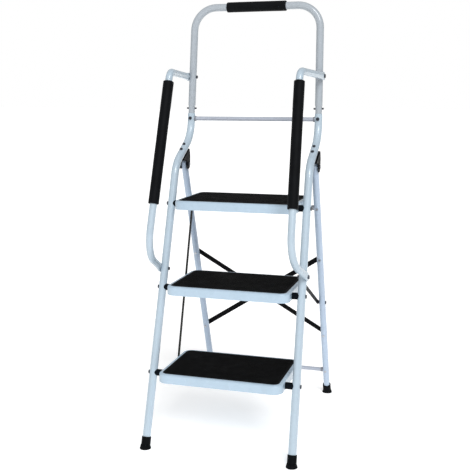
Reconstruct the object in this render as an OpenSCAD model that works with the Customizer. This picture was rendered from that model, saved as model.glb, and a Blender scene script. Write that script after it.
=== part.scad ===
// Folding three-step stool with a tall safety hoop and two bowed handrails.
// Steel tube frame, sheet-steel treads with rubber mats, all lengths in millimetres.
// X runs across the stool, Y from the user towards the back legs, Z up from the floor.
// The origin is on the floor, midway between the front and back feet.

/* [Overall] */
// Height from one tread to the next
tread_rise = 259; // [240:1:265]
// Height of the bottom tread's pivot above the floor
first_pivot_z = 226; // [200:1:240]
// Distance between the centres of the two front feet
foot_span = 468; // [460:1:500]
// Distance from the front feet to the back feet
base_depth = 650; // [630:1:670]
// Height of the hoop's top bar
hoop_top_z = 1375; // [1300:5:1450]

/* [Front frame] */
// Outside diameter of the two stiles
stile_d = 25; // [24:0.5:26]
// Wall thickness of every tube
tube_wall = 1.5; // [1:0.1:2]
// Backward lean of the stiles, in degrees from upright
stile_lean = 16.9; // [16:0.1:18]
// Inward lean of each side of the frame, in degrees
taper = 0.9; // [0.6:0.1:1]
// Lean of the short length between the two bends of a stile
jog_lean = 60; // [58:1:62]
// Lean of the hoop above the bends
hoop_lean = 5.3; // [4:0.1:7]
// Outside diameter of the hoop's tube
hoop_d = 24; // [23:0.5:24]
// Bend radius at the hoop's two top corners
hoop_corner_r = 75; // [60:1:90]

/* [Back frame] */
// Outside diameter of the two back legs
leg_d = 22; // [20:0.5:23]
// Distance of each back leg from the middle of the stool
leg_x = 222; // [222:1:223]
// Height of the hinge that carries the back legs
hinge_z = 862; // [858:1:866]
// Outside diameter of the crossbars
bar_d = 14; // [12:1:16]

/* [Handrails] */
// Outside diameter of the handrail tube
rail_d = 22; // [20:0.5:23]
// Outside diameter of the foam grips
grip_d = 33; // [30:1:36]
// How far the handrails turn inwards, in degrees
rail_toe = 6.3; // [5:0.1:7]
// Length of the foam grip on each handrail
rail_grip_length = 384; // [300:1:384]
// Length of the foam grip on the hoop
hoop_grip_length = 200; // [150:1:260]

/* [Treads] */
// Width of a tread across the stool
tread_w = 394; // [386:1:394]
// Depth of a tread from front to back
tread_depth = 266; // [250:1:270]
// Height of a tread's side walls
skirt_h = 28; // [26:1:34]
// Thickness of the sheet steel
sheet = 1.5; // [1.2:0.1:1.5]
// Thickness of the rubber mats
mat_t = 2.8; // [2.5:0.1:3.5]

/* [Hidden] */
$fn = 64;
slip = 0.05;              // radial clearance of a bearing
drill = 60;               // length of a drill that passes through any tube
near_x = 180;             // a drill along X starts here and ends at far_x
far_x = 260;
strip_inset = 0.3;        // how far a strip's edges lie inside its round ends
gap = 0.4;                // clearance between parts that pass each other
seam_w = 1.2;             // width of the seam between a straight and a bend
seam_h = 0.2;             // how far the seam stands proud, inside and out
seam_trim = 0.1;          // how far a straight stops short of its bend, under the seam
start_turn = 45;          // where a tube's outline starts, from the plane of its bends

// Heights and places on the front frame
stile_foot_y = -base_depth / 2;
leg_foot_y = base_depth / 2;
jog_low_z = 871;
jog_high_z = 952;
jog_low_r = 95;
jog_high_r = 100;
socket_z = 1028;
front_bar_z = 1011;
hoop_end_z = 1006;
swage_z = 1056;
swage_d = stile_d - 2 * tube_wall - 0.2;

// Side profile of a stile, measured from its foot: [backwards, up]
jog_low = [jog_low_z * tan(stile_lean), jog_low_z];
jog_high = jog_low + [(jog_high_z - jog_low_z) * tan(jog_lean), jog_high_z - jog_low_z];
function hoop_line(v) = [jog_high.x + (v - jog_high.y) * tan(hoop_lean), v];
function stile_line(v) = [v * tan(stile_lean), v];
jog_dir = [sin(jog_lean), cos(jog_lean)];
jog_normal = [cos(jog_lean), -sin(jog_lean)];

// Places of the stile in the whole stool
function stile_x(z) = foot_span / 2 - z * tan(taper);
function stile_y(z) = stile_foot_y + stile_line(z).x;

// Treads
pivot_z = [for (i = [0:2]) first_pivot_z + i * tread_rise];
tread_front = 59;         // from the pivot forwards
tread_top = 16;           // from the pivot up to the tread's rim
tread_r = 30;             // corner radius in plan
tread_edge_r = 6;         // radius of the rolled top edge
mat_inset = 11;
mat_drop = 1.6;           // the mat lies this far down in the tread
lip = 8;                  // width of the turned-in bottom edge
skirt_low = tread_top - skirt_h;
pivot_bolt_d = 8;
spacer_d = 21;

// Linkage
link_back = 145;          // from a tread's pivot back to its link pivot
link_w = 15;
link_t = 2.5;
link_x = tread_w / 2 + 3;
rivet_d = 6;
strut_w = 14;
strut_t = 3;
strut_x = link_x + link_t + 1.5;

// Back frame
hinge_y = stile_foot_y + 348.5;
leg_lean = atan((leg_foot_y - hinge_y) / hinge_z);
leg_length = hinge_z / cos(leg_lean);
strut_foot_z = 375;
upper_bar_z = pivot_z[2] + skirt_low - bar_d / 2 - gap - 0.5;
lower_bar_z = 97;
brace_low_z = 246;
brace_high_z = 541;
brace_w = 17;
brace_t = 2;
function leg_y(z) = hinge_y + (hinge_z - z) * tan(leg_lean);
function down_leg(z) = (hinge_z - z) / cos(leg_lean);

// Handrails: the lower and upper bolt, as places on the side profile
rail_low = stile_line(542);
rail_high = hoop_line(1149);
rail_chord = rail_high - rail_low;
rail_tab_t = 4;
rail_offset = stile_d / 2 + rail_tab_t / 2;
rail_path = [[0, 0], [-174, 8], [-230, 574], [0, norm(rail_chord)]];
rail_bend_r = [0, 90, 30, 0];
rail_flat = 36;           // length of each flattened end
rail_grip_start = 161;    // along the grip's straight, from the lower corner

// Hinge brackets, with places along the straight between a stile's bends
bracket_t = 2.5;
bracket_in = leg_d / 2 + gap;
bracket_web_t = 1.5;
plate_from = 36;
plate_to = 104;
plate_n = stile_d / 2 + 0.1;
bracket_bolt_s = [62, 92];
hinge_bolt_d = 8;
cheek_d = 34;
web_back = 15.8;          // from the hinge back to the web

// Feet
foot_h = 36;
foot_top_d = 29;
foot_sole_d = 36;
tube_start = 8;           // rubber under a tube's end, along the tube

// ---------- paths and tubes ----------

function unit(v) = v / norm(v);
function heading(p, i) = unit(p[i + 1] - p[i]);
function turn(p, i) =
    atan2(cross(heading(p, i - 1), heading(p, i)), heading(p, i - 1) * heading(p, i));
function setback(p, r, i) =
    (i == 0 || i == len(p) - 1) ? 0 : r[i] * tan(abs(turn(p, i)) / 2);
function angle_of(v) = atan2(v.y, v.x);

// The section of a tube
module ring(d, wall) {
    difference() {
        circle(d = d);
        circle(d = d - 2 * wall);
    }
}

// The fine seam that joins a tube's straights and bends, across the end of either
module seam(d, wall) {
    translate([0, 0, -seam_w / 2]) linear_extrude(seam_w) ring(d + 2 * seam_h, wall + 2 * seam_h);
}

// A tube along the flat path p, with bend radius r[i] at its corners
module bent_tube(p, r, d, wall = tube_wall) {
    for (i = [0:len(p) - 2]) {
        a = p[i] + heading(p, i) * setback(p, r, i);
        b = p[i + 1] - heading(p, i) * setback(p, r, i + 1);
        low_trim = r[i] > 0 ? seam_trim : 0;
        high_trim = r[i + 1] > 0 ? seam_trim : 0;
        translate([a.x, a.y, 0]) rotate([0, 90, angle_of(b - a)]) rotate([0, 0, 180 + start_turn]) {
            translate([0, 0, low_trim])
                linear_extrude(norm(b - a) - low_trim - high_trim) ring(d, wall);
            if (low_trim > 0) seam(d, wall);
            if (high_trim > 0) translate([0, 0, norm(b - a)]) seam(d, wall);
        }
    }
    for (i = [1:len(p) - 2]) if (r[i] > 0) {
        h = heading(p, i - 1);
        side = sign(turn(p, i));
        start = p[i] - h * setback(p, r, i);
        centre = start + [-h.y, h.x] * side * r[i];
        first = side > 0 ? angle_of(h) - 90 : angle_of(h) + 90 + turn(p, i);
        translate([centre.x, centre.y, 0])
            rotate([0, 0, first])
                rotate_extrude(angle = abs(turn(p, i)))
                    translate([r[i], 0]) rotate(side > 0 ? start_turn : 180 - start_turn) ring(d, wall);
    }
}

// A cylinder along Y through its own middle
module bar_y(d, h) {
    rotate([90, 0, 0]) cylinder(d = d, h = h, center = true);
}

// A cylinder along X from x0 to x1
module bar_x(d, x0, x1) {
    translate([x0, 0, 0]) rotate([0, 90, 0]) rotate([0, 0, start_turn]) cylinder(d = d, h = x1 - x0);
}

// A hollow crossbar along X, with a hole along Y near each end
module crossbar(half, hole_x) {
    difference() {
        rotate([0, 0, 90]) rotate([90, 0, 0]) cylinder(d = bar_d, h = 2 * half, center = true);
        rotate([0, 0, 90]) rotate([90, 0, 0])
            cylinder(d = bar_d - 2 * tube_wall, h = 2 * half + 2, center = true);
        for (side = [-1, 1]) translate([side * hole_x, 0, 0])
            rotate([90, 0, 0]) rotate([0, 0, start_turn])
                cylinder(d = rivet_d, h = drill, center = true);
    }
}

// ---------- frames of reference ----------

// Draws its children as the right-hand part, or mirrored as the left-hand one
module on_side(side) {
    if (side < 0) mirror([1, 0, 0]) children();
    else children();
}

// The flat of a stile: x runs backwards, y up the side of the frame, z outwards
module side_plane() {
    translate([foot_span / 2, stile_foot_y, 0])
        rotate([0, -taper, 0])
            rotate([90, 0, 90])
                children();
}

// The plane of a handrail: y runs up between its two bolts, -x towards the user
module rail_plane() {
    side_plane()
        translate([rail_low.x, rail_low.y, rail_offset])
            rotate([0, 0, angle_of(rail_chord) - 90])
                rotate([0, -rail_toe, 0])
                    children();
}

// The plane of the hoop: y runs up, from the upper bend of the stiles
module hoop_plane() {
    translate([0, stile_foot_y + jog_high.x, jog_high.y * cos(taper)])
        rotate([90 - hoop_lean, 0, 0])
            children();
}
hoop_taper = cos(hoop_lean) * sin(taper);
function hoop_x(w) = foot_span / 2 - jog_high.y * sin(taper) - w * hoop_taper;
function hoop_w(z) = (z - jog_high.y) / cos(hoop_lean);

// A back leg: z runs up it to the hinge, -y is its front
module leg_axis() {
    translate([leg_x, hinge_y, hinge_z])
        rotate([leg_lean, 0, 0])
            children();
}

// The middle plane of the back frame, with the same directions
module back_plane() {
    translate([0, hinge_y, hinge_z])
        rotate([leg_lean, 0, 0])
            children();
}

// ---------- front frame ----------

module stile_holes() {
    for (z = pivot_z)
        translate([0, stile_y(z), z])
            bar_x(pivot_bolt_d, near_x, far_x);
    side_plane() {
        translate([rail_low.x, rail_low.y, 0]) cylinder(d = rivet_d, h = drill, center = true);
        for (s = bracket_bolt_s)
            on_jog(s) cylinder(d = rivet_d, h = drill, center = true);
    }
    front_bar_place() {
        bar_x(bar_d, 0, hoop_x(hoop_w(front_bar_z)));
        translate([hoop_x(hoop_w(front_bar_z)), 0, 0]) cylinder(d = rivet_d, h = drill, center = true);
    }
}

// A place on the straight between the bends: z points down, away from the tube
module on_jog(s) {
    p = jog_low + jog_dir * s;
    translate([p.x, p.y, 0])
        rotate([0, 0, angle_of(jog_normal)])
            rotate([0, 90, 0])
                children();
}

// The middle of the front crossbar: z points towards the user
module front_bar_place() {
    hoop_plane()
        translate([0, hoop_w(front_bar_z), 0])
            children();
}

module stile(side) {
    path = [unit(jog_low) * tube_start, jog_low, jog_high, hoop_line(socket_z)];
    color("aliceblue") on_side(side) difference() {
        side_plane() bent_tube(path, [0, jog_low_r, jog_high_r, 0], stile_d);
        stile_holes();
    }
}

// One lower end of the hoop, drawn down to a smaller diameter that fits the socket
module swaged_end(side) {
    low = [side * hoop_x(hoop_w(hoop_end_z)), hoop_w(hoop_end_z)];
    high = [side * hoop_x(hoop_w(swage_z)), hoop_w(swage_z)];
    cone = 4;
    translate([low.x, low.y, 0]) rotate([0, 90, angle_of(high - low)])
    rotate([0, 0, 180 - side * start_turn]) difference() {
        union() {
            cylinder(d = swage_d, h = norm(high - low) - 1);
            translate([0, 0, norm(high - low) - cone])
                cylinder(d1 = swage_d - 0.1, d2 = hoop_d + 2 * seam_h, h = cone);
            translate([0, 0, norm(high - low) - 0.01])
                cylinder(d = hoop_d + 2 * seam_h, h = seam_w);
        }
        translate([0, 0, -1])
            cylinder(d = swage_d - 2 * tube_wall, h = norm(high - low) + 10);
    }
}

module upper_hoop() {
    w_swage = hoop_w(swage_z);
    w_top = hoop_w(hoop_top_z);
    corners = [[-hoop_x(w_swage), w_swage], [-hoop_x(w_top), w_top],
        [hoop_x(w_top), w_top], [hoop_x(w_swage), w_swage]];
    color("aliceblue") difference() {
        hoop_plane() {
            bent_tube(corners, [0, hoop_corner_r, hoop_corner_r, 0], hoop_d);
            for (side = [-1, 1]) swaged_end(side);
        }
        for (side = [-1, 1]) on_side(side) {
            side_plane() translate([rail_high.x, rail_high.y, 0])
                cylinder(d = rivet_d, h = drill, center = true);
            stop_pin_place() cylinder(d = rivet_d, h = drill, center = true);
            front_bar_place() {
                bar_x(bar_d, 0, hoop_x(hoop_w(front_bar_z)));
                translate([hoop_x(hoop_w(front_bar_z)), 0, 0])
                    cylinder(d = rivet_d, h = drill, center = true);
            }
        }
    }
}

module hoop_grip() {
    color("#18181c") hoop_plane() translate([0, hoop_w(hoop_top_z), 0]) difference() {
        bar_x(grip_d, -hoop_grip_length / 2, hoop_grip_length / 2);
        bar_x(hoop_d, -hoop_grip_length, hoop_grip_length);
    }
}

// The pins that stop the hoop from sliding further into its sockets
module stop_pin_place() {
    p = hoop_line((socket_z + swage_z) / 2 + 3);
    side_plane() translate([p.x, p.y, 0]) children();
}

module hoop_stop_pins() {
    color("dimgray") for (side = [-1, 1]) on_side(side) stop_pin_place()
        cylinder(d = rivet_d, h = swage_d + 11, center = true);
}

// ---------- crossbar ----------

module front_crossbar() {
    half = hoop_x(hoop_w(front_bar_z)) + 3;
    color("aliceblue") front_bar_place() rotate([90, 0, 0]) crossbar(half, half - 3);
}

module front_bar_collars() {
    x1 = hoop_x(hoop_w(front_bar_z)) - stile_d / 2 - 0.2;
    color("#404448") for (side = [-1, 1]) on_side(side) front_bar_place() difference() {
        bar_x(bar_d + 3, x1 - 4, x1);
        bar_x(bar_d, x1 - 10, x1 + 10);
    }
}

module front_bar_bolts() {
    color("dimgray") for (side = [-1, 1]) on_side(side) front_bar_place()
        translate([hoop_x(hoop_w(front_bar_z)), 0, 0]) {
            translate([0, 0, -stile_d / 2 - 1]) cylinder(d = rivet_d, h = stile_d + 4);
            translate([0, 0, stile_d / 2]) cylinder(d = 11, h = 3);
            translate([0, 0, -stile_d / 2 - 2.5]) cylinder(d = 9, h = 2.5);
        }
}

// ---------- handrails ----------

// One flattened end, with its bolt at the origin and its tube leaving at angle a
module flattened_end(a) {
    eye_d = rail_d + 4;
    neck = 14;
    rotate([0, rail_toe, 0]) rotate([0, 0, a]) translate([0, 0, -rail_tab_t / 2]) {
        cylinder(d = eye_d, h = rail_tab_t);
        translate([0, -eye_d / 2 + strip_inset, 0])
            cube([neck, eye_d - 2 * strip_inset, rail_tab_t]);
    }
    hull() {
        rotate([0, rail_toe, 0]) rotate([0, 0, a])
            translate([neck - 2, -eye_d / 2 + 2 * strip_inset, -rail_tab_t / 2 + strip_inset])
                cube([1, eye_d - 4 * strip_inset, rail_tab_t - 2 * strip_inset]);
        rotate([0, 0, a]) translate([rail_flat, 0, 0]) rotate([0, 90, 0])
            cylinder(d = rail_d + 0.3, h = 3, $fn = 32);
    }
}

module handrail(side) {
    last = len(rail_path) - 1;
    low_dir = heading(rail_path, 0);
    high_dir = -heading(rail_path, last - 1);
    tube = [rail_path[0] + low_dir * rail_flat, rail_path[1], rail_path[2],
        rail_path[last] + high_dir * rail_flat];
    color("aliceblue") on_side(side) rail_plane() difference() {
        union() {
            bent_tube(tube, rail_bend_r, rail_d);
            flattened_end(angle_of(low_dir));
            translate([rail_path[last].x, rail_path[last].y, 0])
                flattened_end(angle_of(high_dir));
        }
        for (p = [rail_path[0], rail_path[last]])
            translate([p.x, p.y, 0]) rotate([0, rail_toe, 0])
                cylinder(d = rivet_d, h = 20, center = true);
    }
}

module handrail_grip(side) {
    a = rail_path[1];
    along = heading(rail_path, 1);
    start = a + along * (rail_grip_start - a.y) / along.y;
    color("#18181c") on_side(side) rail_plane()
        translate([start.x, start.y, 0]) rotate([0, 90, angle_of(along)]) difference() {
            cylinder(d = grip_d, h = rail_grip_length);
            translate([0, 0, -1]) cylinder(d = rail_d, h = rail_grip_length + 2);
        }
}

// A bolt at each end of each handrail, head outwards
module handrail_bolts() {
    color("dimgray") for (side = [-1, 1]) on_side(side) side_plane()
        for (end = [[rail_low, stile_d], [rail_high, hoop_d]])
            translate([end[0].x, end[0].y, 0]) {
                outside = rail_offset + rail_tab_t / 2;
                inside = -end[1] / 2;
                translate([0, 0, inside - 4]) cylinder(d = rivet_d, h = outside - inside + 5);
                translate([0, 0, outside]) cylinder(d = 12, h = 4);
                translate([0, 0, inside - 4]) cylinder(d = 10, h = 4);
            }
}

// ---------- feet ----------

// The axis of a front or back tube, from the floor upwards
module foot_axis(front) {
    if (front) side_plane() rotate([0, 0, -stile_lean]) rotate([-90, 0, 0]) children();
    else translate([leg_x, leg_foot_y, 0]) rotate([leg_lean, 0, 0]) children();
}

module rubber_foot(side, front) {
    centre = front ? [foot_span / 2, stile_foot_y, 0] : [leg_x, leg_foot_y, 0];
    tube_d = front ? stile_d : leg_d;
    color("#202022") on_side(side) difference() {
        union() {
            translate(centre) cylinder(d1 = foot_sole_d, d2 = foot_top_d, h = 12);
            foot_axis(front) translate([0, 0, -10]) cylinder(d = foot_top_d, h = foot_h + 10);
        }
        translate(centre - [drill, drill, drill]) cube([2 * drill, 2 * drill, drill]);
        foot_axis(front) translate([0, 0, tube_start]) cylinder(d = tube_d, h = drill);
    }
}

// ---------- hinge of the back legs ----------

// The side profile of a bracket's cheeks, in the flat of the stile
module cheek_outline() {
    h = [hinge_y - stile_foot_y, hinge_z];
    low = jog_low + jog_dir * plate_from + jog_normal * plate_n;
    high = jog_low + jog_dir * plate_to + jog_normal * plate_n;
    translate(h) circle(d = cheek_d);
    polygon([low, high, high + [5, -14], h + [19, 24], h + [17, 0], h + [-17, 0], h + [-17, 14],
        [low.x + 3, h.y + 14]]);
}

module hinge_bracket(side) {
    web_y = hinge_y - stile_foot_y + web_back;
    color("#1c1c1e") on_side(side) difference() {
        union() {
            translate([leg_x, stile_foot_y, 0]) rotate([90, 0, 90]) {
                for (z = [-bracket_in - bracket_t, bracket_in])
                    translate([0, 0, z]) linear_extrude(bracket_t) cheek_outline();
                translate([web_y, hinge_z + 7, -bracket_in - 1])
                    cube([bracket_web_t, 22, 2 * bracket_in + 2]);
            }
            translate([leg_x, stile_foot_y, 0]) rotate([90, 0, 90])
                translate([jog_low.x, jog_low.y, 0])
                    rotate([0, 0, 90 - jog_lean])
                        translate([plate_from, -plate_n - bracket_t, -bracket_in - 1])
                            cube([plate_to - plate_from, bracket_t, 2 * bracket_in + 2]);
        }
        translate([0, hinge_y, hinge_z]) bar_x(hinge_bolt_d, near_x, far_x);
        side_plane() for (s = bracket_bolt_s) on_jog(s) cylinder(d = rivet_d, h = drill, center = true);
    }
}

module bracket_bolts() {
    color("#303238") for (side = [-1, 1]) on_side(side) side_plane() for (s = bracket_bolt_s) on_jog(s) {
        translate([0, 0, -stile_d / 2]) cylinder(d = rivet_d, h = stile_d + 6);
        translate([0, 0, -stile_d / 2 - 3]) cylinder(d = 10, h = 3);
        translate([0, 0, plate_n + bracket_t]) cylinder(d = 10, h = 4);
    }
}

module leg_hinge_bolts() {
    x0 = leg_x - bracket_in - bracket_t;
    x1 = leg_x + bracket_in + bracket_t;
    color("silver") for (side = [-1, 1]) on_side(side) translate([0, hinge_y, hinge_z]) {
        bar_x(hinge_bolt_d, x0, x1);
        bar_x(13, x0 - 4.5, x0);
        bar_x(13, x1, x1 + 3);
    }
}

// ---------- treads ----------

// The outline of a tread's sheet, t inside its outer surface
module rolled_outline(t) {
    r = tread_edge_r - t;
    low = skirt_low - (t > 0 ? 1 : 0);
    right = tread_r - t;
    high = tread_top - t;
    translate([0, low]) square([right, high - r - low]);
    translate([0, low]) square([right - r, high - low]);
    translate([right - r, high - r]) circle(r = r);
}

// The section of a tread's edge: x runs outwards from the corner's centre
module tray_section() {
    rim = tread_r - mat_inset;
    floor_z = tread_top - mat_drop;
    difference() {
        rolled_outline(0);
        rolled_outline(sheet);
        translate([-1, floor_z]) square([rim + 1, 10]);
    }
    translate([0, floor_z - sheet]) square([rim + sheet, sheet]);
    translate([rim, floor_z - sheet]) square([sheet, mat_drop + sheet]);
    translate([tread_r - lip, skirt_low]) square([lip, sheet]);
}

// A pressed-steel tread, drawn about its pivot at the given height
module tray(level) {
    x = tread_w / 2 - tread_r;
    front = tread_r - tread_front;
    back = tread_depth - tread_front - tread_r;
    corners = [[x, back, 0], [-x, back, 90], [-x, front, 180], [x, front, 270]];
    color("aliceblue") translate([0, stile_y(pivot_z[level]), pivot_z[level]]) difference() {
        union() {
            for (i = [0:3]) {
                c = corners[i];
                next = corners[(i + 1) % 4];
                translate([c.x, c.y, 0]) rotate([0, 0, c.z])
                    rotate_extrude(angle = 90) tray_section();
                translate([next.x, next.y, 0]) rotate([90, 0, c.z + 90])
                    linear_extrude(norm([next.x - c.x, next.y - c.y])) tray_section();
            }
            translate([-x, front, tread_top - mat_drop - sheet]) cube([2 * x, back - front, sheet]);
        }
        bar_x(pivot_bolt_d + 2 * slip, -tread_w, tread_w);
        translate([0, link_back, 0]) bar_x(rivet_d + 2 * slip, -tread_w, tread_w);
    }
}

// A rubber mat that lies in the tread
module mat(level) {
    w = tread_w - 2 * mat_inset - 0.6;
    depth = tread_depth - 2 * mat_inset - 0.6;
    r = tread_r - mat_inset;
    color("#1b1b1d")
        translate([0, stile_y(pivot_z[level]) - tread_front + mat_inset + 0.3,
            pivot_z[level] + tread_top - mat_drop])
            linear_extrude(mat_t) {
                translate([-w / 2 + r, 0]) square([w - 2 * r, depth]);
                translate([-w / 2, r]) square([w, depth - 2 * r]);
                for (x = [-w / 2 + r, w / 2 - r], y = [r, depth - r])
                    translate([x, y]) circle(r = r);
            }
}

// Sleeves that keep each tread clear of the stiles
module tread_spacers() {
    color("#1a1a1c") for (side = [-1, 1]) on_side(side) difference() {
        for (z = pivot_z) translate([0, stile_y(z), z])
            bar_x(spacer_d, tread_w / 2 + gap, stile_x(z));
        for (z = pivot_z) translate([0, stile_y(z), z]) bar_x(pivot_bolt_d, near_x, far_x);
        foot_axis(true) cylinder(d = stile_d, h = pivot_z[2] * 1.2);
    }
}

module tread_pivot_bolts() {
    inside = tread_w / 2 - sheet - gap;
    color("dimgray") for (side = [-1, 1]) on_side(side) for (z = pivot_z) {
        outside = stile_x(z) + stile_d / 2 + 0.1;
        translate([0, stile_y(z), z]) {
            bar_x(pivot_bolt_d, inside - 1, outside + 1);
            bar_x(14, inside - 4, inside);
            bar_x(12, outside, outside + 3);
        }
    }
}

// ---------- linkage ----------

function link_place(level) = [stile_y(pivot_z[level]) + link_back, pivot_z[level]];

// A flat bar with round ends from a to b in the side view, between x and x + t
module side_strip(a, b, w, x, t) {
    translate([x, 0, 0]) rotate([90, 0, 90]) linear_extrude(t) {
        translate(a) circle(d = w);
        translate(b) circle(d = w);
        translate(a) rotate([0, 0, angle_of(b - a)]) translate([0, -w / 2 + strip_inset])
            square([norm(b - a), w - 2 * strip_inset]);
    }
}

module link_bar(side) {
    color("#1a1a1c") on_side(side) difference() {
        side_strip(link_place(0), link_place(2), link_w, link_x, link_t);
        for (i = [0:2]) translate([0, link_place(i).x, link_place(i).y])
            bar_x(rivet_d, link_x - 5, link_x + 10);
    }
}

module link_rivets() {
    inside = tread_w / 2 - sheet - gap;
    color("dimgray") for (side = [-1, 1]) on_side(side) for (i = [0:2])
        translate([0, link_place(i).x, link_place(i).y]) {
            bar_x(rivet_d, inside - 1, link_x + link_t + 0.5);
            bar_x(11, inside - 2.5, inside);
            bar_x(11, tread_w / 2 + gap, link_x);
            bar_x(10, link_x + link_t, link_x + link_t + 0.8);
        }
}

strut_top = link_place(1);
strut_foot = [leg_y(strut_foot_z), strut_foot_z];

module strut(side) {
    color("#26262a") on_side(side) difference() {
        side_strip(strut_top, strut_foot, strut_w, strut_x, strut_t);
        translate([0, strut_top.x, strut_top.y]) bar_x(rivet_d, strut_x - 5, strut_x + 10);
        translate([0, strut_foot.x, strut_foot.y])
            bar_x(rivet_d + 2 * slip, strut_x - 5, strut_x + 10);
    }
}

// The stud at the top of each strut
module strut_studs() {
    color("dimgray") for (side = [-1, 1]) on_side(side)
        translate([0, strut_top.x, strut_top.y]) {
            bar_x(rivet_d, strut_x, strut_x + strut_t + 1);
            bar_x(11, strut_x + strut_t, strut_x + strut_t + 1.5);
        }
}

// The bolt that pins the foot of each strut to its back leg
module strut_bolts() {
    outside = leg_x + leg_d / 2;
    inner_head = strut_x - gap;
    color("dimgray") for (side = [-1, 1]) on_side(side)
        translate([0, strut_foot.x, strut_foot.y]) {
            bar_x(rivet_d, inner_head - 1, outside + 1);
            bar_x(11, inner_head - 2, inner_head);
            bar_x(12, strut_x + strut_t + gap, leg_x - leg_d / 2);
            bar_x(11, outside, outside + 3);
        }
}

// ---------- back frame ----------

module back_leg(side) {
    low = -leg_length + tube_start;
    color("#e4e8f4") on_side(side) difference() {
        leg_axis() difference() {
            union() {
                translate([0, 0, low]) cylinder(d = leg_d, h = 2 - low);
                translate([0, 0, 2]) sphere(d = leg_d);
            }
            translate([0, 0, low - 1]) cylinder(d = leg_d - 2 * tube_wall, h = 3 - low);
            translate([0, 0, 2]) sphere(d = leg_d - 2 * tube_wall);
            for (z = [upper_bar_z, lower_bar_z]) translate([0, 0, -down_leg(z)]) {
                bar_x(bar_d, -leg_d, 0);
                bar_y(rivet_d, drill);
            }
            for (z = [brace_low_z, brace_high_z]) translate([0, 0, -down_leg(z)])
                bar_y(rivet_d, drill);
        }
        translate([0, hinge_y, hinge_z]) bar_x(hinge_bolt_d + 2 * slip, near_x, far_x);
        translate([0, strut_foot.x, strut_foot.y]) bar_x(rivet_d, near_x, far_x);
    }
}

module back_bar(z) {
    half = leg_x + 3;
    color("#e4e8f4") back_plane() translate([0, 0, -down_leg(z)]) crossbar(half, leg_x);
}

module back_bar_collars() {
    x1 = leg_x - leg_d / 2 - 0.2;
    color("#303236") for (side = [-1, 1], z = [upper_bar_z, lower_bar_z])
        on_side(side) back_plane() translate([0, 0, -down_leg(z)]) difference() {
            bar_x(bar_d + 2, x1 - 7, x1);
            bar_x(bar_d, x1 - 20, x1 + 20);
        }
}

// A rivet from the front of a leg, with a shank that reaches back to y
module rivet_y(y) {
    front = -leg_d / 2;
    translate([0, (front + y) / 2, 0]) bar_y(rivet_d, y - front);
    translate([0, front - 0.75, 0]) bar_y(9, 1.5);
    translate([0, y + 0.75, 0]) bar_y(9, 1.5);
}

module back_bar_rivets() {
    color("silver") for (side = [-1, 1], z = [upper_bar_z, lower_bar_z])
        back_plane() translate([side * leg_x, 0, -down_leg(z)]) rivet_y(leg_d / 2);
}

brace_y = leg_d / 2;      // the first brace lies against the legs
brace_gap = 0.4;
brace_ends = [[-leg_x, -down_leg(brace_low_z)], [leg_x, -down_leg(brace_high_z)]];
brace_middle_z = (brace_ends[0].y + brace_ends[1].y) / 2;

// One flat diagonal, drawn against the plane at y
module brace_strip(y, falling) {
    module strip_holes() {
        for (p = brace_ends) translate([p.x, y, p.y]) bar_y(rivet_d, 20);
        translate([0, y, brace_middle_z]) bar_y(rivet_d, 20);
    }
    color("#1a1a1c") back_plane() mirror([falling ? 1 : 0, 0, 0]) difference() {
        translate([0, y + brace_t, 0]) rotate([90, 0, 0]) linear_extrude(brace_t) {
            a = brace_ends[0];
            b = brace_ends[1];
            translate(a) circle(d = brace_w);
            translate(b) circle(d = brace_w);
            translate(a) rotate([0, 0, angle_of(b - a)]) translate([0, -brace_w / 2])
                square([norm(b - a), brace_w]);
        }
        strip_holes();
    }
}

module brace_rivets() {
    color("silver") back_plane() for (side = [-1, 1], high = [false, true]) {
        z = -down_leg(high ? brace_high_z : brace_low_z);
        falling = (side < 0) == high;
        back = brace_y + brace_t + (falling ? brace_t + brace_gap : 0);
        translate([side * leg_x, 0, z]) {
            rivet_y(back);
            if (falling) translate([0, brace_y + (brace_t + brace_gap) / 2, 0])
                bar_y(11, brace_t + brace_gap);
        }
    }
}

module brace_centre_rivet() {
    back = brace_y + 2 * brace_t + brace_gap;
    color("silver") back_plane() translate([0, 0, brace_middle_z]) {
        translate([0, (brace_y + back) / 2, 0]) bar_y(rivet_d, back - brace_y);
        translate([0, brace_y - 0.75, 0]) bar_y(9, 1.5);
        translate([0, back + 0.75, 0]) bar_y(9, 1.5);
    }
}

// ---------- parts ----------

stile(-1);  // stile_left
stile(1);  // stile_right
upper_hoop();
hoop_grip();
hoop_stop_pins();
front_crossbar();
front_bar_collars();
front_bar_bolts();
handrail(-1);  // handrail_left
handrail(1);  // handrail_right
handrail_grip(-1);  // handrail_grip_left
handrail_grip(1);  // handrail_grip_right
handrail_bolts();
rubber_foot(-1, true);  // front_foot_left
rubber_foot(1, true);  // front_foot_right
hinge_bracket(-1);  // hinge_bracket_left
hinge_bracket(1);  // hinge_bracket_right
bracket_bolts();
leg_hinge_bolts();
tread_spacers();
tread_pivot_bolts();
tray(0);  // bottom_tray
mat(0);  // bottom_mat
tray(1);  // middle_tray
mat(1);  // middle_mat
tray(2);  // top_tray
mat(2);  // top_mat
link_bar(-1);  // link_left
link_bar(1);  // link_right
link_rivets();
back_leg(-1);  // back_leg_left
back_leg(1);  // back_leg_right
rubber_foot(-1, false);  // back_foot_left
rubber_foot(1, false);  // back_foot_right
back_bar(upper_bar_z);  // upper_back_bar
back_bar(lower_bar_z);  // lower_back_bar
back_bar_collars();
back_bar_rivets();
brace_strip(brace_y, false);  // brace_rising
brace_strip(brace_y + brace_t + brace_gap, true);  // brace_falling
brace_rivets();
brace_centre_rivet();
strut(-1);  // strut_left
strut(1);  // strut_right
strut_studs();
strut_bolts();
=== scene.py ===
"""Looks for a folding three-step stool with a tall safety hoop and two bowed handrails.

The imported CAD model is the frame. The foam grips and the rubber mats are replaced with
detailed pieces, and every other part keeps its shape and gets a procedural material.
"""

import math

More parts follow.
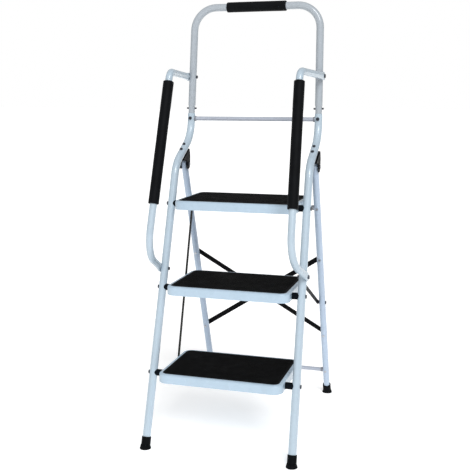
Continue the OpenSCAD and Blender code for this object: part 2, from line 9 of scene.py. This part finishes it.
import bmesh
import bpy
import mathutils.noise
import numpy as np
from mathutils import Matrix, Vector


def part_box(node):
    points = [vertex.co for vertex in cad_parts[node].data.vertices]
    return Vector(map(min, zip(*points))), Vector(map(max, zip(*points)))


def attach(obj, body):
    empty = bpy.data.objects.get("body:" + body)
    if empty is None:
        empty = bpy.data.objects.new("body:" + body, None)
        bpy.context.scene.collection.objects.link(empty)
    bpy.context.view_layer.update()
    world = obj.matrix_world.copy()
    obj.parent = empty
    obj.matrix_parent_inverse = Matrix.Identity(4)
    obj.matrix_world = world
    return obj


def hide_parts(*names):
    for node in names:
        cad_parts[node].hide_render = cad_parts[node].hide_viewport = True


# ---------- colours and sizes ----------

# Base colours, linear. The whites differ a little from one group of parts to the next, but they are
# one white paint: the hoop, tread and leg whites are copies of it with painted shade, the hoop's
# darker and greyer, the treads' and legs' bluer.
WHITE_PAINT = (0.445, 0.54, 0.62)
# Painted shade: the white paint made darker and greyer for the hoop.
HOOP_WHITE_WITH_PAINTED_SHADE = (0.39, 0.43, 0.47)
# Painted shade: the white paint made a little darker and bluer for the treads.
TREAD_WHITE_WITH_PAINTED_SHADE = (0.42, 0.54, 0.65)
# Painted shade: the white paint made bluer and a little darker for the back legs, which stand in
# shade.
LEG_WHITE_WITH_PAINTED_SHADE = (0.43, 0.525, 0.65)
BAR_PAINT = (0.40, 0.43, 0.50)
BLACK_PAINT = (0.0019, 0.0021, 0.0027)
FOAM = (0.0022, 0.0027, 0.0037)
MAT_RUBBER = (0.0023, 0.0023, 0.0025)
FOOT_RUBBER = (0.004, 0.0048, 0.006)
DARK_PLASTIC = (0.003, 0.0045, 0.007)
GREY_PLASTIC = (0.20, 0.21, 0.235)
DARK_STEEL = (0.06, 0.065, 0.08)
PLATED_STEEL = (0.50, 0.52, 0.56)

# The camera's place in metres, its turn from the front and its tilt down in degrees, its lens in mm
CAMERA_PLACE = (0.7253, -2.551, 1.0881)
CAMERA_AZIMUTH = 16.67
CAMERA_PITCH = 9.71
CAMERA_LENS = 62.55

# Bore radius of each foam sleeve: a little more than its tube's radius
FOAM_BORE = {"hoop_grip": 0.0121, "handrail_grip_left": 0.0111, "handrail_grip_right": 0.0111}
FOAM_ROUND = 0.0022         # radius of a foam sleeve's end edges
FOAM_DENT = 0.0004          # depth of the dents in a foam sleeve
FOAM_STEP = 0.008           # distance from one ring of a sleeve's mesh to the next
FOAM_SIDES = 64
DENTS_ACROSS = 40           # noise frequency of the dents across a sleeve and along it
DENTS_ALONG = 18
ROUND_STEPS = 4

RIB_PITCH = 0.0050          # from one rib of a mat to the next
RIB_WIDTH = 0.0034
RIB_TOP = 0.6               # width of a rib's top as a share of its foot
RIB_HEIGHT = 0.0005
MAT_BORDER = 0.008          # plain border round a mat's ribs
MAT_EDGE = 0.0008           # radius of a mat's top edge
HALFWAY = 0.3               # how far in and down that edge's middle lies, as a share of the radius
MAT_CORNER = 0.019          # corner radius of a mat in plan
CORNER_STEPS = 10

WORLD_LIGHT = 0.13
FLOOR_GLOW = 0.45           # the floor's own light, which thins the shadows
FLOOR_REACH = 60.0

# Soft suns: name, azimuth and elevation in degrees, power, and spread in degrees
SUNS = [("key", 32.0, 40.0, 2.0, 26.0),
        ("fill", -8.0, 50.0, 0.9, 100.0),
        ("back", 200.0, 30.0, 0.7, 100.0)]


# ---------- materials ----------

def new_material(name, roughness, metallic=0.0, specular=0.5):
    """A material with a Principled shader whose uniform values sit on its own sockets."""
    material = bpy.data.materials.new(name)
    material.use_nodes = True
    shader = material.node_tree.nodes["Principled BSDF"]
    shader.inputs["Roughness"].default_value = roughness
    shader.inputs["Metallic"].default_value = metallic
    shader.inputs["Specular IOR Level"].default_value = specular
    return material, material.node_tree, shader


def noise(tree, scale, detail=2.0, rough=0.5, stretch=(1, 1, 1)):
    """A noise texture on the object's own coordinates."""
    place = tree.nodes.new("ShaderNodeTexCoord")
    mapping = tree.nodes.new("ShaderNodeMapping")
    mapping.inputs["Scale"].default_value = stretch
    texture = tree.nodes.new("ShaderNodeTexNoise")
    texture.inputs["Scale"].default_value = scale
    texture.inputs["Detail"].default_value = detail
    texture.inputs["Roughness"].default_value = rough
    tree.links.new(place.outputs["Object"], mapping.inputs["Vector"])
    tree.links.new(mapping.outputs["Vector"], texture.inputs["Vector"])
    return texture.outputs["Fac"]


def ramp(tree, value, stops):
    """Colours picked by value, from a list of (position, colour)."""
    node = tree.nodes.new("ShaderNodeValToRGB")
    elements = node.color_ramp.elements
    while len(elements) < len(stops):
        elements.new(0.5)
    for element, (position, colour) in zip(elements, stops):
        element.position = position
        element.color = (*colour, 1.0)
    tree.links.new(value, node.inputs["Fac"])
    return node.outputs["Color"]


def remap(tree, value, low, high, start=0.3, end=0.7):
    """value from start..end turned into low..high."""
    node = tree.nodes.new("ShaderNodeMapRange")
    node.inputs["From Min"].default_value = start
    node.inputs["From Max"].default_value = end
    node.inputs["To Min"].default_value = low
    node.inputs["To Max"].default_value = high
    tree.links.new(value, node.inputs["Value"])
    return node.outputs["Result"]


def bump(tree, height, distance, strength=1.0, after=None):
    """A bump normal from height, laid over another one."""
    node = tree.nodes.new("ShaderNodeBump")
    node.inputs["Distance"].default_value = distance
    node.inputs["Strength"].default_value = strength
    tree.links.new(height, node.inputs["Height"])
    if after is not None:
        tree.links.new(after, node.inputs["Normal"])
    return node.outputs["Normal"]


def shade(colour, factor):
    """colour made lighter or darker."""
    return tuple(min(1.0, c * factor) for c in colour)


def powder_coat(name, colour, roughness=0.26, variation=0.03):
    """Gloss powder coat: faint cloudiness in its colour and a fine orange-peel skin."""
    material, tree, shader = new_material(name, roughness, specular=0.3)
    shader.inputs["Coat Weight"].default_value = 0.5
    shader.inputs["Coat Roughness"].default_value = 0.13
    cloud = noise(tree, 9.0, 3.0)
    stops = [(0.3, shade(colour, 1 - variation)), (0.7, shade(colour, 1 + variation))]
    tree.links.new(ramp(tree, cloud, stops), shader.inputs["Base Color"])
    gloss = remap(tree, noise(tree, 40.0, 2.0), roughness - 0.04, roughness + 0.06)
    tree.links.new(gloss, shader.inputs["Roughness"])
    peel = bump(tree, noise(tree, 900.0, 2.0), 0.00006)
    tree.links.new(peel, shader.inputs["Normal"])
    return material


def rubber(name, colour, roughness, grain, depth, variation=0.35):
    """Matt rubber or plastic: a mottled colour and a fine grain."""
    material, tree, shader = new_material(name, roughness, specular=0.04)
    cloud = noise(tree, 60.0, 4.0, 0.6)
    stops = [(0.3, shade(colour, 1 - variation)), (0.75, shade(colour, 1 + variation))]
    tree.links.new(ramp(tree, cloud, stops), shader.inputs["Base Color"])
    gloss = remap(tree, noise(tree, 25.0, 3.0), roughness - 0.06, roughness + 0.06)
    tree.links.new(gloss, shader.inputs["Roughness"])
    coarse = bump(tree, noise(tree, grain, 3.0, 0.65), depth)
    tree.links.new(coarse, shader.inputs["Normal"])
    return material


def foam_material():
    """Closed-cell foam: matt, with small open pores and a faint sheen."""
    material, tree, shader = new_material("foam_sleeve", 0.6, specular=0.09)
    shader.inputs["Sheen Weight"].default_value = 0.03
    shader.inputs["Sheen Roughness"].default_value = 0.4
    cloud = noise(tree, 35.0, 4.0, 0.6)
    stops = [(0.3, shade(FOAM, 0.7)), (0.75, shade(FOAM, 1.5))]
    tree.links.new(ramp(tree, cloud, stops), shader.inputs["Base Color"])
    place = tree.nodes.new("ShaderNodeTexCoord")
    pores = tree.nodes.new("ShaderNodeTexVoronoi")
    pores.inputs["Scale"].default_value = 850.0
    tree.links.new(place.outputs["Object"], pores.inputs["Vector"])
    skin = bump(tree, noise(tree, 110.0, 2.0), 0.0003)
    pitted = bump(tree, pores.outputs["Distance"], 0.00025, after=skin)
    tree.links.new(pitted, shader.inputs["Normal"])
    return material


def satin_black():
    """Black paint on strip steel, a little lighter and duller where it has rubbed."""
    material, tree, shader = new_material("black_strip_paint", 0.45, specular=0.06)
    rub = noise(tree, 140.0, 5.0, 0.7)
    stops = [(0.35, BLACK_PAINT), (0.72, BLACK_PAINT), (0.82, shade(BLACK_PAINT, 2.4))]
    tree.links.new(ramp(tree, rub, stops), shader.inputs["Base Color"])
    gloss = remap(tree, noise(tree, 70.0, 2.0), 0.38, 0.55)
    tree.links.new(gloss, shader.inputs["Roughness"])
    tree.links.new(bump(tree, noise(tree, 700.0, 2.0), 0.00005), shader.inputs["Normal"])
    return material


def metal(name, colour, roughness):
    """Plated steel, with a slightly uneven gloss and faint scratches."""
    material, tree, shader = new_material(name, roughness, metallic=0.9)
    cloud = noise(tree, 180.0, 3.0)
    stops = [(0.3, shade(colour, 0.82)), (0.7, shade(colour, 1.15))]
    tree.links.new(ramp(tree, cloud, stops), shader.inputs["Base Color"])
    gloss = remap(tree, noise(tree, 320.0, 2.0), roughness - 0.08, roughness + 0.1)
    tree.links.new(gloss, shader.inputs["Roughness"])
    scratch = bump(tree, noise(tree, 400.0, 2.0, stretch=(1, 1, 6)), 0.00004)
    tree.links.new(scratch, shader.inputs["Normal"])
    return material


# ---------- mesh helpers ----------

def add_piece(name, mesh, material, body):
    """Links a mesh as a piece of the object that moves with body."""
    piece = bpy.data.objects.new(name, mesh)
    bpy.context.scene.collection.objects.link(piece)
    mesh.materials.append(material)
    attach(piece, body)
    return piece


def mesh_from(name, vertices, faces, smooth):
    """A mesh with outward normals."""
    mesh = bpy.data.meshes.new(name)
    mesh.from_pydata(vertices, [], faces)
    shape = bmesh.new()
    shape.from_mesh(mesh)
    bmesh.ops.recalc_face_normals(shape, faces=shape.faces)
    shape.to_mesh(mesh)
    shape.free()
    if smooth:
        mesh.shade_smooth()
    return mesh


def long_axis(node):
    """Middle, direction, length and outside radius of a straight round CAD node."""
    points = np.array([v.co[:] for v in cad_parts[node].data.vertices])
    low, high = points.min(axis=0), points.max(axis=0)
    spread = points - (low + high) / 2
    direction = np.linalg.svd(spread, full_matrices=False)[2][0]
    along = spread @ direction
    across = np.linalg.norm(spread - np.outer(along, direction), axis=1)
    middle = (low + high) / 2 + direction * (along.max() + along.min()) / 2
    return Vector(middle), Vector(direction), along.max() - along.min(), across.max()


def foam_sleeve(name, node, material):
    """A foam sleeve with a rounded edge and an open bore at each end, in place of node."""
    middle, direction, length, radius = long_axis(node)
    bore = FOAM_BORE[node]
    profile = [(0.0, bore), (0.0, radius - FOAM_ROUND)]
    for i in range(1, ROUND_STEPS + 1):
        turn = math.pi / 2 * i / ROUND_STEPS
        profile.append((FOAM_ROUND * (1 - math.cos(turn)),
                        radius - FOAM_ROUND + FOAM_ROUND * math.sin(turn)))
    body_steps = round((length - 2 * FOAM_ROUND) / FOAM_STEP)
    step = (length - 2 * FOAM_ROUND) / body_steps
    straight = [(FOAM_ROUND + step * i, radius) for i in range(1, body_steps)]
    profile += straight + [(length - s, r) for s, r in reversed(profile)]
    turn_to = direction.to_track_quat("Z", "Y").to_matrix()
    vertices, faces = [], []
    count = len(profile)
    for i, (s, r) in enumerate(profile):
        for k in range(FOAM_SIDES):
            angle = 2 * math.pi * k / FOAM_SIDES
            place = Vector((math.cos(angle), math.sin(angle), 0)) * r
            place.z = s - length / 2
            dent = 0.0
            if r > bore:
                seed = Vector((place.x * DENTS_ACROSS, place.y * DENTS_ACROSS,
                               place.z * DENTS_ALONG + len(node)))
                dent = FOAM_DENT * (0.5 + 0.5 * mathutils.noise.noise(seed))
            radial = Vector((math.cos(angle), math.sin(angle), 0))
            vertices.append(middle + turn_to @ (place - radial * dent))
            following = (k + 1) % FOAM_SIDES
            below = (i + 1) % count
            faces.append((i * FOAM_SIDES + k, i * FOAM_SIDES + following,
                          below * FOAM_SIDES + following, below * FOAM_SIDES + k))
    mesh = mesh_from(name, vertices, faces, True)
    piece = add_piece(name, mesh, material, "front_frame")
    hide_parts(node)


def rounded_outline(low, high, inset, radius):
    """Corners of a rounded rectangle, as (x, y), anticlockwise."""
    x0, y0 = low.x + inset, low.y + inset
    x1, y1 = high.x - inset, high.y - inset
    centres = [(x1 - radius, y1 - radius, 0), (x0 + radius, y1 - radius, 90),
               (x0 + radius, y0 + radius, 180), (x1 - radius, y0 + radius, 270)]
    points = []
    for cx, cy, start in centres:
        for i in range(CORNER_STEPS + 1):
            angle = math.radians(start + 90 * i / CORNER_STEPS)
            points.append((cx + radius * math.cos(angle), cy + radius * math.sin(angle)))
    return points


def half_width(y, low, high, inset, radius):
    """Half the width of an inset rounded rectangle at y."""
    middle = (low.y + high.y) / 2
    reach = (high.y - low.y) / 2 - inset
    into_corner = abs(y - middle) - (reach - radius)
    half = (high.x - low.x) / 2 - inset
    if into_corner <= 0:
        return half
    return half - radius + math.sqrt(max(0.0, radius ** 2 - into_corner ** 2))


def ribbed_mat(name, node, body, material):
    """A rubber mat with rounded edges and low ribs from side to side, in place of node."""
    low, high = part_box(node)
    skin = high.z - RIB_HEIGHT
    layers = [(0.0, low.z), (0.0, skin - MAT_EDGE),
              (MAT_EDGE * HALFWAY, skin - MAT_EDGE * HALFWAY), (MAT_EDGE, skin)]
    vertices, faces = [], []
    for inset, z in layers:
        outline = rounded_outline(low, high, inset, MAT_CORNER - inset)
        vertices += [(x, y, z) for x, y in outline]
    around = len(vertices) // len(layers)
    for layer in range(len(layers) - 1):
        for k in range(around):
            following = (k + 1) % around
            faces.append((layer * around + k, layer * around + following,
                          (layer + 1) * around + following, (layer + 1) * around + k))
    faces.append(tuple(range(around))[::-1])
    faces.append(tuple((len(layers) - 1) * around + k for k in range(around)))
    middle_x, middle_y = (low.x + high.x) / 2, (low.y + high.y) / 2
    rows = int((high.y - low.y - 2 * MAT_BORDER) / RIB_PITCH)
    for row in range(rows):
        y = middle_y + (row - (rows - 1) / 2) * RIB_PITCH
        half = half_width(y, low, high, MAT_BORDER, MAT_CORNER - MAT_BORDER)
        start = len(vertices)
        for side in (-1, 1):
            for width, z, pull in ((RIB_WIDTH, skin - RIB_HEIGHT, 0.0),
                                   (RIB_WIDTH * RIB_TOP, high.z, RIB_HEIGHT)):
                x = middle_x + side * (half - pull)
                vertices += [(x, y - width / 2, z), (x, y + width / 2, z)]
        a, b, c, d, e, f, g, h = range(start, start + 8)
        faces += [(a, b, d, c), (e, g, h, f), (a, c, g, e),
                  (b, f, h, d), (a, e, f, b), (c, d, h, g)]
    piece = add_piece(name, mesh_from(name, vertices, faces, False), material, body)
    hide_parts(node)


# ---------- the object ----------

def paint(nodes, material):
    """Gives CAD nodes their material."""
    for node in nodes:
        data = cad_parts[node].data
        data.materials.clear()
        data.materials.append(material)


def both(name):
    """The left and the right node of a pair."""
    return [f"{name}_left", f"{name}_right"]


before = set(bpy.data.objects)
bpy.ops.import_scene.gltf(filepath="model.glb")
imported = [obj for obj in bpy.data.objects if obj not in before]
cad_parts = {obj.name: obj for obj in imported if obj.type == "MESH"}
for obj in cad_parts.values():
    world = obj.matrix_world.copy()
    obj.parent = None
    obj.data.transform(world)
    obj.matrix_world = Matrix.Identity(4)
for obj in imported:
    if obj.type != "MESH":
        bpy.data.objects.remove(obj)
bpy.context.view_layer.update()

stile_coat = powder_coat("stile_coat", WHITE_PAINT)
# The hoop, tread and leg coats below carry painted shade in their colours.
hoop_coat_painted_shade = powder_coat("hoop_coat_painted_shade", HOOP_WHITE_WITH_PAINTED_SHADE)
tread_coat_painted_shade = powder_coat("tread_coat_painted_shade", TREAD_WHITE_WITH_PAINTED_SHADE)
leg_coat_painted_shade = powder_coat("leg_coat_painted_shade", LEG_WHITE_WITH_PAINTED_SHADE)
bar_coat = powder_coat("bar_coat", BAR_PAINT, 0.4)
strip_coat = satin_black()
foam = foam_material()
mat_rubber = rubber("mat_rubber", MAT_RUBBER, 0.6, 1400.0, 0.00012)
foot_rubber = rubber("foot_rubber", FOOT_RUBBER, 0.5, 500.0, 0.00015)
dark_plastic = rubber("dark_plastic", DARK_PLASTIC, 0.42, 900.0, 0.00005, 0.15)
grey_plastic = rubber("grey_plastic", GREY_PLASTIC, 0.45, 900.0, 0.00005, 0.1)
dark_steel = metal("dark_steel", DARK_STEEL, 0.38)
plated_steel = metal("plated_steel", PLATED_STEEL, 0.3)

paint(both("stile") + both("handrail"), stile_coat)
paint(["upper_hoop"], hoop_coat_painted_shade)
paint(["bottom_tray", "middle_tray", "top_tray"], tread_coat_painted_shade)
paint(both("back_leg"), leg_coat_painted_shade)
paint(["front_crossbar", "upper_back_bar", "lower_back_bar"], bar_coat)
paint(both("hinge_bracket") + both("link") + both("strut") + ["brace_rising", "brace_falling"],
      strip_coat)
paint(both("front_foot") + both("back_foot"), foot_rubber)
paint(["tread_spacers"], dark_plastic)
paint(["front_bar_collars", "back_bar_collars"], grey_plastic)
paint(["front_bar_bolts", "handrail_bolts", "bracket_bolts", "leg_hinge_bolts",
       "tread_pivot_bolts", "strut_bolts", "hoop_stop_pins"], dark_steel)
paint(["link_rivets", "back_bar_rivets", "brace_rivets",
       "brace_centre_rivet", "strut_studs"], plated_steel)

foam_sleeve("hoop_foam", "hoop_grip", foam)
foam_sleeve("left_rail_foam", "handrail_grip_left", foam)
foam_sleeve("right_rail_foam", "handrail_grip_right", foam)
for level in ("bottom", "middle", "top"):
    ribbed_mat(f"{level}_ribbed_mat", f"{level}_mat", f"{level}_step", mat_rubber)


# ---------- stage, light and camera ----------

def sun(name, azimuth, elevation, power, spread):
    """Soft light from far away. Azimuth 0 comes from the front and 90 from +X, in degrees."""
    data = bpy.data.lights.new(name, "SUN")
    data.energy = power
    data.angle = math.radians(spread)
    light = bpy.data.objects.new(name, data)
    turn, rise = math.radians(azimuth), math.radians(elevation)
    toward = Vector((math.sin(turn) * math.cos(rise), -math.cos(turn) * math.cos(rise),
                     math.sin(rise)))
    light.rotation_euler = toward.to_track_quat("Z", "Y").to_euler()
    bpy.context.scene.collection.objects.link(light)


def pale_floor():
    """A wide pale floor that gives off a little light."""
    mesh = bpy.data.meshes.new("floor")
    corners = [(-FLOOR_REACH, -FLOOR_REACH, 0), (FLOOR_REACH, -FLOOR_REACH, 0),
               (FLOOR_REACH, FLOOR_REACH, 0), (-FLOOR_REACH, FLOOR_REACH, 0)]
    mesh.from_pydata(corners, [], [(0, 1, 2, 3)])
    floor = bpy.data.objects.new("floor", mesh)
    bpy.context.scene.collection.objects.link(floor)
    material, tree, shader = new_material("floor_paper", 0.9, specular=0.1)
    stops = [(0.3, (0.90, 0.90, 0.90)), (0.7, (0.93, 0.93, 0.93))]
    tree.links.new(ramp(tree, noise(tree, 0.4), stops), shader.inputs["Base Color"])
    shader.inputs["Emission Color"].default_value = (1.0, 1.0, 1.0, 1.0)
    shader.inputs["Emission Strength"].default_value = FLOOR_GLOW
    mesh.materials.append(material)


def studio():
    """A white backdrop, a dimmer surrounding light, and three soft lights."""
    world = bpy.data.worlds.new("studio")
    bpy.context.scene.world = world
    world.use_nodes = True
    tree = world.node_tree
    background = tree.nodes["Background"]
    seen = tree.nodes.new("ShaderNodeLightPath")
    strength = remap(tree, seen.outputs["Is Camera Ray"], WORLD_LIGHT, 1.0, 0.0, 1.0)
    background.inputs["Color"].default_value = (1.0, 1.0, 1.0, 1.0)
    tree.links.new(strength, background.inputs["Strength"])
    for light in SUNS:
        sun(*light)
    bpy.context.scene.view_settings.view_transform = "Standard"


def camera():
    """The camera at the photograph's viewing angle."""
    data = bpy.data.cameras.new("camera")
    data.lens = CAMERA_LENS
    data.sensor_width = 36.0
    data.clip_end = 200.0
    view = bpy.data.objects.new("camera", data)
    azimuth, pitch = math.radians(CAMERA_AZIMUTH), math.radians(CAMERA_PITCH)
    look = Vector((-math.sin(azimuth) * math.cos(pitch), math.cos(azimuth) * math.cos(pitch),
                   -math.sin(pitch)))
    view.location = CAMERA_PLACE
    view.rotation_euler = look.to_track_quat("-Z", "Y").to_euler()
    bpy.context.scene.collection.objects.link(view)
    bpy.context.scene.camera = view


pale_floor()
studio()
camera()
